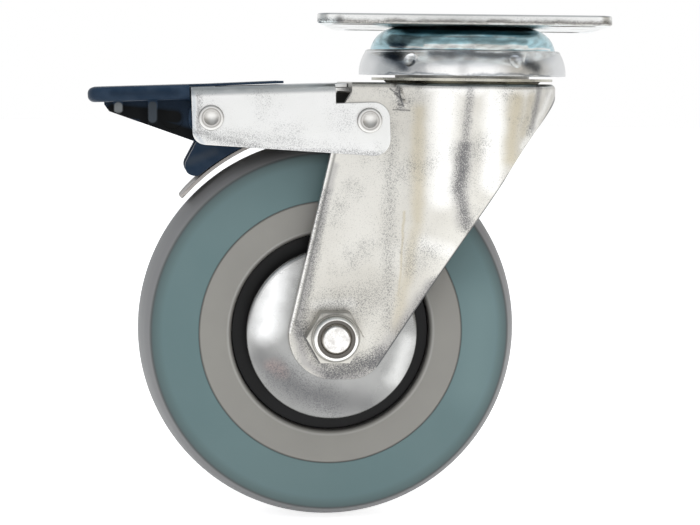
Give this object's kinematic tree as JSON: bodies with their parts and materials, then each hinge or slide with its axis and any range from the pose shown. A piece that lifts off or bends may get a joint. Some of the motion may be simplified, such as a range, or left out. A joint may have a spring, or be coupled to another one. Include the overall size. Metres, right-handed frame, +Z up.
{
  "type": "swivel castor",
  "caption": "Swivel castor with a slotted top plate, ball-race swivel head, pressed fork, grey-tyred wheel on a bolted axle, and a foot pedal that presses a leaf brake on the tyre.",
  "frame": {"origin": "centre of the top plate's upper face, on the swivel axis", "axes": "+Z up out of the plate, +X along the plate's shorter side, +Y along its longer side; the wheel trails towards -X, its fork turned 9 degrees about the swivel"},
  "size_m": [0.1359, 0.077, 0.132],
  "materials": {
    "plate_zinc": "zinc plated, bluish passivated",
    "ring_zinc": "zinc plated, bright",
    "fork_zinc": "zinc plated pressing, slightly mottled",
    "guard_zinc": "zinc plated, brushed",
    "bright_steel": "zinc plated, machined",
    "rivet_nickel": "nickel plated",
    "ball_steel": "polished",
    "spring_steel": "grey-brown spring steel",
    "rim_plastic": "moulded, satin",
    "black_nylon": "moulded, satin",
    "pedal_plastic": "glass-filled nylon, satin",
    "tyre_rubber": "smooth thermoplastic rubber"
  },
  "bodies": {
    "mounting": {"top_plate": "plate_zinc", "upper_race_cup": "plate_zinc", "dust_ring": "ring_zinc", "kingpin": "bright_steel", "lower_race_cup": "bright_steel"},
    "upper_ball_row": {"upper_balls": "ball_steel"},
    "lower_ball_row": {"lower_balls": "ball_steel"},
    "fork_side": {"fork": "fork_zinc", "dust_washer": "ring_zinc", "axle_bolt": "bright_steel", "axle_nut": "bright_steel", "nut_insert": "black_nylon", "axle_sleeve": "bright_steel", "thread_guard_near": "guard_zinc", "thread_guard_far": "guard_zinc", "brake_housing": "fork_zinc", "pivot_rivet": "rivet_nickel", "rear_rivet": "rivet_nickel"},
    "wheel": {"wheel_rim": "rim_plastic", "tyre": "tyre_rubber", "hub_bush_near": "black_nylon", "hub_bush_far": "black_nylon"},
    "pedal": {"brake_pedal": "pedal_plastic"},
    "leaf": {"brake_leaf": "spring_steel"}
  },
  "joints": [
    {"name": "swivel", "type": "hinge", "parent": "mounting", "child": "fork_side", "pos_m": [0, 0, -0.017], "axis": [0, 0, 1], "continuous": true},
    {"name": "upper_ball_run", "type": "hinge", "parent": "mounting", "child": "upper_ball_row", "pos_m": [0, 0, -0.0079], "axis": [0, 0, 1], "continuous": true},
    {"name": "lower_ball_run", "type": "hinge", "parent": "mounting", "child": "lower_ball_row", "pos_m": [0, 0, -0.0144], "axis": [0, 0, 1], "continuous": true},
    {"name": "wheel_spin", "type": "hinge", "parent": "fork_side", "child": "wheel", "pos_m": [-0.03506, -0.00555, -0.082], "axis": [-0.1564, 0.9877, 0], "continuous": true},
    {"name": "brake_press", "type": "hinge", "parent": "fork_side", "child": "pedal", "pos_m": [-0.06647, -0.01053, -0.0264], "axis": [0.1564, -0.9877, 0], "range_deg": [0, 7.4]},
    {"name": "leaf_flex", "type": "hinge", "parent": "fork_side", "child": "leaf", "pos_m": [-0.02667, -0.00422, -0.02668], "axis": [0.1564, -0.9877, 0], "range_deg": [0, 1.9]}
  ],
  "couplings": [
    {"joint": "upper_ball_run", "follows": "swivel", "ratio": 0.5},
    {"joint": "lower_ball_run", "follows": "swivel", "ratio": 0.5},
    {"joint": "leaf_flex", "follows": "brake_press", "ratio": 0.24}
  ]
}
